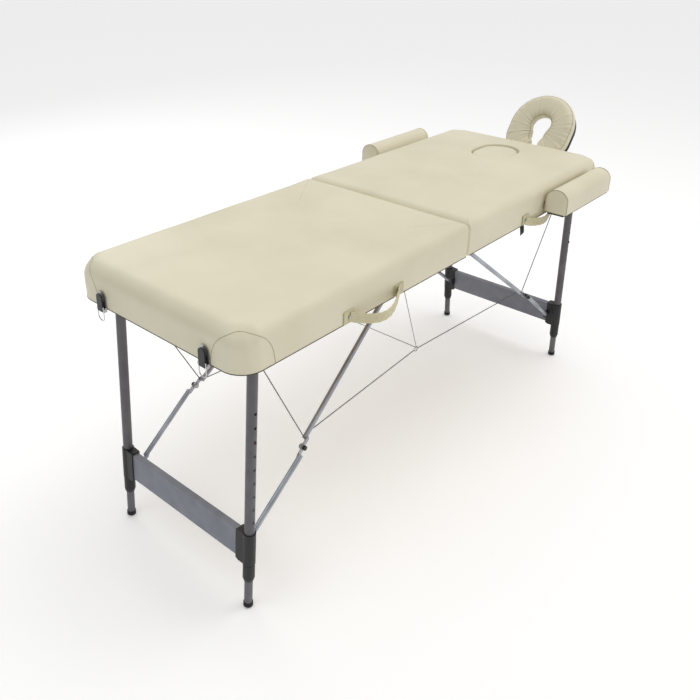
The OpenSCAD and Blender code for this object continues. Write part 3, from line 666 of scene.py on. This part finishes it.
def plug():
    """The breathing hole's plug: a stadium plan carried over a crowned top and a 12 mm round edge."""
    angle = np.linspace(0, 2 * np.pi, 160, endpoint=False)
    rim = stadium_point(angle, 0.0738, HOLE_HALF)
    low, high = BOARD_Z + 0.0004, TOP_Z - 0.0015
    edge, drawn_in = 0.012, 0.15
    rows, heights = [], []
    for t in np.linspace(0, 1, 22)[:-1]:
        rows.append(rim * t * (1 - drawn_in))
        heights.append(high + 0.0022 * (1 - t * t))
    for t in np.linspace(0, np.pi / 2, 10)[:-1]:
        rows.append(rim * (1 - drawn_in * (1 - math.sin(t))))
        heights.append(high - edge * (1 - math.cos(t)))
    for h in np.linspace(high - edge, low, 6):
        rows.append(rim)
        heights.append(h)
    rows.append(rim * 0)
    heights.append(low)
    plan = np.array(rows) + np.array([HINGE_X - HOLE_X, BED_Y])
    z = np.broadcast_to(np.array(heights)[:, None], plan.shape[:2])
    made = piece("breathing_plug", [sheet_of(np.dstack([plan, z]), False, True)], CREAM,
                 "breath_plug", ("breath_plug",))


plug()

# ---------------------------------------------------------------- armrests


BOLSTER_WIDTH = 0.080


def bolster_section(count=96):
    """A tombstone: flat below, straight sides and a half-round top, as (across, up) points."""
    w, h, r, low = BOLSTER_WIDTH, 0.0845, 0.0385, 0.005
    t = np.linspace(0, 1, count // 4, endpoint=False)
    base = np.stack([low + (w - 2 * low) * t, 0 * t], -1)
    corner_t = np.linspace(0, np.pi / 2, 6, endpoint=False)
    first = np.stack([w - low + low * np.sin(corner_t), low - low * np.cos(corner_t)], -1)
    rise = np.stack([0 * t + w, low + (h - r - low) * t], -1)
    turn = np.linspace(0, np.pi, count // 2, endpoint=False)
    top = np.stack([w / 2 + w / 2 * np.cos(turn), h - r + r * np.sin(turn)], -1)
    fall = np.stack([0 * t, (h - r) - (h - r - low) * t], -1)
    last = np.stack([low - low * np.cos(corner_t), low - low * np.sin(corner_t)], -1)
    return np.concatenate([base, first, rise, top, fall, last])


def armrest(side):
    """The bolster: its section carried along the bed, drawn in over 6 mm at each end.

    A barely domed end panel with a piped seam closes each end."""
    low, high = (np.array(v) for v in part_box(side + "_armrest_pad"))
    section = bolster_section()
    centre = np.array([0.040, 0.042])
    length = high[0] - low[0]
    rows, along = [], []
    steps = [(s, 0.0012 * s ** 4) for s in np.linspace(0, 0.9, 10)]
    steps += [(1 - 0.10 * (1 - math.sin(t)), 0.0012 + 0.005 * (1 - math.cos(t)))
              for t in np.linspace(0, np.pi / 2, 6)]
    inner = [(1.0, x) for x in np.linspace(0.012, length - 0.012, 44)]
    whole = steps + inner + [(s, length - x) for s, x in reversed(steps)]
    for s, x in whole:
        rows.append(centre + (section - centre) * s)
        along.append(np.full(len(section), x))
    plan, x = np.array(rows), np.array(along)
    a = plan[..., 0] if side == "far" else BOLSTER_WIDTH - plan[..., 0]
    lift = smooth((plan[..., 1] - 0.03) / 0.04)
    dent = 0.0009 * np.sin(26.0 * x + (1.0 if side == "far" else 2.2)) * np.sin(60.0 * a) * lift
    z = low[2] + 0.0015 + plan[..., 1] * 0.98 - np.abs(dent)
    points = np.stack([low[0] + x, low[1] + a, z], -1)
    pad = piece(side + "_armrest_cover", [sheet_of(points, False, True)], CREAM,
                side + "_armrest", (side + "_armrest_pad",))
    seams = []
    for x0 in (0.0032, length - 0.0032):
        loop = centre + (section - centre) * 0.985
        a = loop[:, 0] if side == "far" else BOLSTER_WIDTH - loop[:, 0]
        z = low[2] + 0.0015 + loop[:, 1] * 0.98
        path = np.stack([np.full(len(loop), low[0] + x0), low[1] + a, z], -1)
        seams.append(tube_along(path, 0.0013, 8, (1.0, 0.0, 0.0), True))
    piece(side + "_armrest_seams", seams, THREAD, side + "_armrest")
    board = rounded_box((low[0] + 0.004, low[1] + 0.003, low[2] - 0.0015),
                        (high[0] - 0.004, high[1] - 0.003, low[2] + 0.0020), 0.001)
    piece(side + "_armrest_board", [board], EDGE_TRIM, side + "_armrest")


def rounded_box(low, high, radius, n=4):
    """A box whose sections are rounded squares, drawn in by the radius at top and bottom."""
    low, high = np.array(low, float), np.array(high, float)
    turn = np.concatenate([np.linspace(q * np.pi / 2, (q + 1) * np.pi / 2, n + 1) for q in range(4)])
    quadrant = np.repeat(np.arange(4), n + 1)
    sx = np.where(np.isin(quadrant, (0, 3)), 1, -1)
    sy = np.where(np.isin(quadrant, (0, 1)), 1, -1)
    middle_xy = (low[:2] + high[:2]) / 2
    half = (high[:2] - low[:2]) / 2 - radius
    rings = []
    for t in np.linspace(-np.pi / 2, np.pi / 2, 2 * n):
        r = radius * math.cos(t)
        z = (low[2] + radius if t < 0 else high[2] - radius) + radius * math.sin(t)
        x = middle_xy[0] + sx * half[0] + r * np.cos(turn)
        y = middle_xy[1] + sy * half[1] + r * np.sin(turn)
        rings.append(np.stack([x, y, np.full_like(x, z)], -1))
    rings = np.array(rings)
    ends = [np.repeat(rings[:1].mean(1, keepdims=True), rings.shape[1], 1), rings,
            np.repeat(rings[-1:].mean(1, keepdims=True), rings.shape[1], 1)]
    return sheet_of(np.concatenate(ends), False, True)


armrest("near")
armrest("far")

# ---------------------------------------------------------------- face rest

TILT = math.radians(53)
FACE_U = np.array([math.cos(TILT), 0.0, math.sin(TILT)])
FACE_V = np.array([0.0, 1.0, 0.0])
FACE_N = np.array([-math.sin(TILT), 0.0, math.cos(TILT)])
FACE_AT = np.array([HINGE_X + 1.050, BED_Y, 0.885])


def face_rims(angle):
    """Inner and outer radius of the face cushion by angle from its top.

    The outer is a stadium. The inner is the larger of two circles, averaged along the angle."""
    outer = np.linalg.norm(stadium_point(angle, 0.1345, 0.020), axis=1)
    c, s = np.cos(angle), np.sin(angle)
    upper = 0.026 * c + np.sqrt(0.045 ** 2 - (0.026 * s) ** 2)
    lower = -0.026 * c + np.sqrt(0.033 ** 2 - (0.026 * s) ** 2)
    inner = np.maximum(upper, lower)
    reach = 18
    even = np.ones(2 * reach + 1) / (2 * reach + 1)
    inner = np.convolve(np.pad(inner, reach, "edge"), even, "valid")
    padding_in = 0.006
    return inner - padding_in, outer


def face_surface(rows=240, sides=72):
    """A horseshoe: a soft square section carried round from one side of the gap to the other.

    It is rounded off at both ends, with gathers running in from the rims. Returns the points and
    the angles round the section."""
    reach = math.radians(180 - 11.5)
    angle = np.linspace(-reach, reach, rows)
    inner, outer = face_rims(angle)
    centre, half = (inner + outer) / 2, (outer - inner) / 2
    turn = np.linspace(0, 2 * np.pi, sides, endpoint=False)
    c, s = np.cos(turn), np.sin(turn)
    across = np.sign(c) * np.abs(c) ** 0.62
    up = np.sign(s) * np.abs(s) ** 0.78
    from_end = (reach - np.abs(angle)) * centre
    closing = np.sqrt(np.clip(1 - (1 - np.clip(from_end / 0.030, 0, 1)) ** 2.4, 0, 1))
    width = half * (0.25 + 0.75 * closing) * np.clip(closing * 50, 0, 1)
    r = centre[:, None] + across[None] * width[:, None]
    n = up[None] * (0.0290 * closing)[:, None]
    folds = (np.sin(angle * 27 + 0.7) + 0.8 * np.sin(angle * 43 + 2.1)
             + 0.6 * np.sin(angle * 16 + 4.0)) / 2.4
    fine = (np.sin(angle * 63 + 1.0) + np.sin(angle * 88 + 3.0)) / 2
    edge = (0.10 + 0.90 * smooth((np.abs(across) - 0.05) / 0.85)) * smooth((up + 0.35) / 0.5)
    pull = (0.0017 * folds + 0.0008 * fine)[:, None] * edge[None] * closing[:, None]
    inside = np.where(across < 0, 1.5, 1.0)[None]
    n = n + pull * inside * 0.9
    r = r - np.sign(across)[None] * np.abs(pull) * 0.5
    u, v = r * np.cos(angle)[:, None], r * np.sin(angle)[:, None]
    return u[..., None] * FACE_U + v[..., None] * FACE_V + n[..., None] * FACE_N + FACE_AT, turn


def face_cushion():
    """The cushion with its closed ends, and fine seams along its edges."""
    points, turn = face_surface()
    ends = [np.repeat(points[:1].mean(1, keepdims=True), points.shape[1], 1), points,
            np.repeat(points[-1:].mean(1, keepdims=True), points.shape[1], 1)]
    pad = piece("face_cushion_cover", [sheet_of(np.concatenate(ends), False, True)], CREAM,
                "face_rest", ("face_rest_cushion",))
    seams = []
    for way, cut in ((0.52, 6), (2 * np.pi - 0.62, 6), (np.pi - 0.52, 10)):
        column = int(np.argmin(np.abs(turn - way)))
        seams.append(tube_along(points[cut:-cut, column], 0.0011, 8, tuple(FACE_N)))
    piece("face_cushion_seams", seams, THREAD, "face_rest")


face_cushion()

# ---------------------------------------------------------------- handles and webbing


def strap_path(end, bow, bow_power, droop, droop_power, count=90):
    """The carry strap's middle line: out and down by powers of a half sine between its tabs."""
    low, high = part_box(end + "_handle")
    x0, x1 = low[0] + 0.020, high[0] - 0.020
    t = np.linspace(0, 1, count)
    wave = np.sin(np.pi * t)
    z0 = high[2] - 0.018
    return np.stack([x0 + (x1 - x0) * t,
                     np.full(count, BED_Y - HALF_WIDTH - 0.0038) - bow * wave ** bow_power,
                     z0 - droop * wave ** droop_power], -1)


def strap_section(count=44):
    """Across the band: a flat oval 28 mm high with padded ridges on both faces, as (thick, high)."""
    turn = np.linspace(0, 2 * np.pi, count, endpoint=False)
    high = 0.0140 * np.sign(np.sin(turn)) * np.abs(np.sin(turn)) ** 0.7
    ridges = 0.0006 * np.cos(high * 2 * np.pi / 0.0088)
    thick = np.sign(np.cos(turn)) * np.abs(np.cos(turn)) ** 0.4 * (0.0021 + ridges)
    return thick, high


def carry_strap(end, bow, bow_power, droop, droop_power):
    """The band carried along its path, its ends closed, over two stitched tabs with domed rivets."""
    path = strap_path(end, bow, bow_power, droop, droop_power)
    side, top = frames_along(path)
    thick, high = strap_section()
    crease = 0.0007 * np.sin(np.linspace(0, 60, len(path)))[:, None] * np.cos(high * 220)[None]
    across = side[:, None] * (thick[None] + crease)[..., None]
    band = path[:, None] + across + top[:, None] * high[None, :, None]
    ends = [np.repeat(path[:1, None], len(thick), 1), band, np.repeat(path[-1:, None], len(thick), 1)]
    surfaces = [sheet_of(np.concatenate(ends), False, True)]
    face_y = BED_Y - HALF_WIDTH
    tabs, rivets, stitches = [], [], []
    for at in (path[0], path[-1]):
        tabs.append(rounded_box((at[0] - 0.020, face_y - 0.0035, at[2] - 0.017),
                                (at[0] + 0.020, face_y - 0.0002, at[2] + 0.017), 0.0012))
        rivets.append(dome((at[0], face_y - 0.0064, at[2]), 0.0052, 0.0026))
        for dx in (-0.017, 0.017):
            for z in np.linspace(-0.0135, 0.0135, 9):
                stitches.append(bead((at[0] + dx, face_y - 0.0036, at[2] + z), (0.0005, 0.0005, 0.0011)))
        for dz in (-0.0145, 0.0145):
            for x in np.linspace(-0.0145, 0.0145, 9):
                stitches.append(bead((at[0] + x, face_y - 0.0036, at[2] + dz), (0.0011, 0.0005, 0.0005)))
    band = piece(end + "_carry_strap", surfaces, STRAP, end + "_half", (end + "_handle",))
    piece(end + "_strap_tabs", tabs, STRAP, end + "_half")
    piece(end + "_strap_rivets", rivets, ZINC, end + "_half")
    piece(end + "_strap_stitches", stitches, THREAD, end + "_half")


def dome(centre, radius, height, sides=20):
    """A shallow dome facing the near side, closed at the back."""
    turn = np.arange(sides) * 2 * np.pi / sides
    rows = []
    for t in np.linspace(0, np.pi / 2, 6):
        r, y = radius * math.sin(t), -height * math.cos(t)
        rows.append(np.stack([r * np.cos(turn), np.full(sides, y), r * np.sin(turn)], -1))
    rows.append(np.stack([radius * np.cos(turn), np.full(sides, height), radius * np.sin(turn)], -1))
    rows.append(np.stack([0 * turn, np.full(sides, height), 0 * turn], -1))
    return sheet_of(np.array(rows) + np.array(centre), False, True)


def bead(centre, radii):
    """A stitch: an eight-sided ellipsoid with five rings."""
    turn = np.arange(8) * np.pi / 4
    rings = [np.stack([math.sin(t) * np.cos(turn), math.sin(t) * np.sin(turn), np.full(8, math.cos(t))], -1)
             for t in np.linspace(0, np.pi, 5)]
    return sheet_of(np.array(rings) * np.array(radii) + np.array(centre), False, True)


carry_strap("foot", 0.038, 1, 0.022, 1)
carry_strap("head", 0.015, 3, 0.027, 0.6)


def strap_tail():
    """A flat webbing tail: a thin band carried down a slightly curling line, its ends drawn to a point."""
    low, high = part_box("strap_end")
    t = np.linspace(0, 1, 30)
    path = np.stack([high[0] - 0.014 - (high[0] - low[0] - 0.027) * (1 - t),
                     np.full(30, low[1] + 0.0016) + 0.0008 * np.sin(5 * t),
                     low[2] + 0.001 + (high[2] - low[2] - 0.004) * (1 - t)], -1)
    path = path[::-1]
    ahead = np.gradient(path, axis=0)
    ahead /= np.linalg.norm(ahead, axis=1, keepdims=True)
    wide = np.cross(ahead, [0.0, 1.0, 0.0])
    wide /= np.linalg.norm(wide, axis=1, keepdims=True)
    turn = np.linspace(0, 2 * np.pi, 24, endpoint=False)
    a = 0.0125 * np.sign(np.cos(turn)) * np.abs(np.cos(turn)) ** 0.3
    b = 0.0009 * np.sign(np.sin(turn)) * np.abs(np.sin(turn)) ** 0.5
    band = path[:, None] + wide[:, None] * a[None, :, None] + np.array([0.0, 1.0, 0.0]) * b[None, :, None]
    whole = np.concatenate([np.repeat(path[:1, None], 24, 1), band, np.repeat(path[-1:, None], 24, 1)])
    along = np.concatenate([[0.0], np.linspace(0, 0.07, 30), [0.07]])
    uv = np.stack(np.broadcast_arrays(along[:, None], a[None]), -1).reshape(-1, 2)
    piece("strap_tail", [sheet_of(whole, False, True)], TAPE, "head_half",
          ("strap_end",), uv=uv)


strap_tail()

# ---------------------------------------------------------------- steel cables


def rope_tube(start, end, count=60, sides=12, radius=0.0015):
    """A straight round rope with its length and its turn round the rope as UV."""
    t = np.linspace(0, 1, count)[:, None]
    path = np.array(start) + (np.array(end) - np.array(start)) * t
    points, faces = tube_along(path, radius, sides, (0.31, 0.22, 0.93))
    length = float(np.linalg.norm(np.array(end) - np.array(start)))
    along = np.concatenate([[0.0], np.linspace(0, length, count), [length]])
    uv = np.stack(np.broadcast_arrays(along[:, None], np.arange(sides)[None] * 0.0008), -1).reshape(-1, 2)
    return points, faces, uv


def ropes(name, pairs, body, replaces=()):
    """Several ropes as one piece."""
    made = [rope_tube(a, b) for a, b in pairs]
    uv = np.concatenate([m[2] for m in made])
    return piece(name, [(m[0], m[1]) for m in made], ROPE, body, replaces, uv=uv)


def bed(x, y, z, mirrored=False):
    """Millimetres from the fold, the middle and the floor, to the row frame."""
    return np.array([(-x if mirrored else x) / 1000 + HINGE_X, y / 1000 + BED_Y, z / 1000])


for end, mirrored in (("foot", False), ("head", True)):
    mains = [(bed(-602, s * 213, 387, mirrored), bed(-12, s * 164, 378, mirrored)) for s in (-1, 1)]
    stays = [(bed(-839, s * 236, 816, mirrored), bed(-614, s * 222, 387, mirrored)) for s in (-1, 1)]
    main = ropes(end + "_main_ropes", mains, end + "_half", replaces=(end + "_cables",))
    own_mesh(main)
    stay = ropes(end + "_end_ropes", stays, None)
    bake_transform(stay)

def bolt(centre, way):
    """A plated bolt head on its washer: a profile of (height, radius) turned round the y axis."""
    profile = np.array([(0.0, 0.0), (0.0, 9.0), (1.4, 9.0), (1.4, 7.6), (5.4, 7.6), (6.6, 6.2),
                        (7.2, 0.0)]) / 1000
    turn = np.arange(24) * np.pi / 12
    rings = np.stack([profile[:, 1:] * np.cos(turn), np.broadcast_to(way * profile[:, :1], (7, 24)),
                      profile[:, 1:] * np.sin(turn)], -1)
    return sheet_of(rings + centre, False, True)


for end, mirrored in (("foot", False), ("head", True)):
    bolts = [bolt(bed(-628, s * 225.6, 367, mirrored), -s) for s in (-1, 1)]
    piece(end + "_knuckle_bolts", bolts, ZINC, end + "_upper_braces")
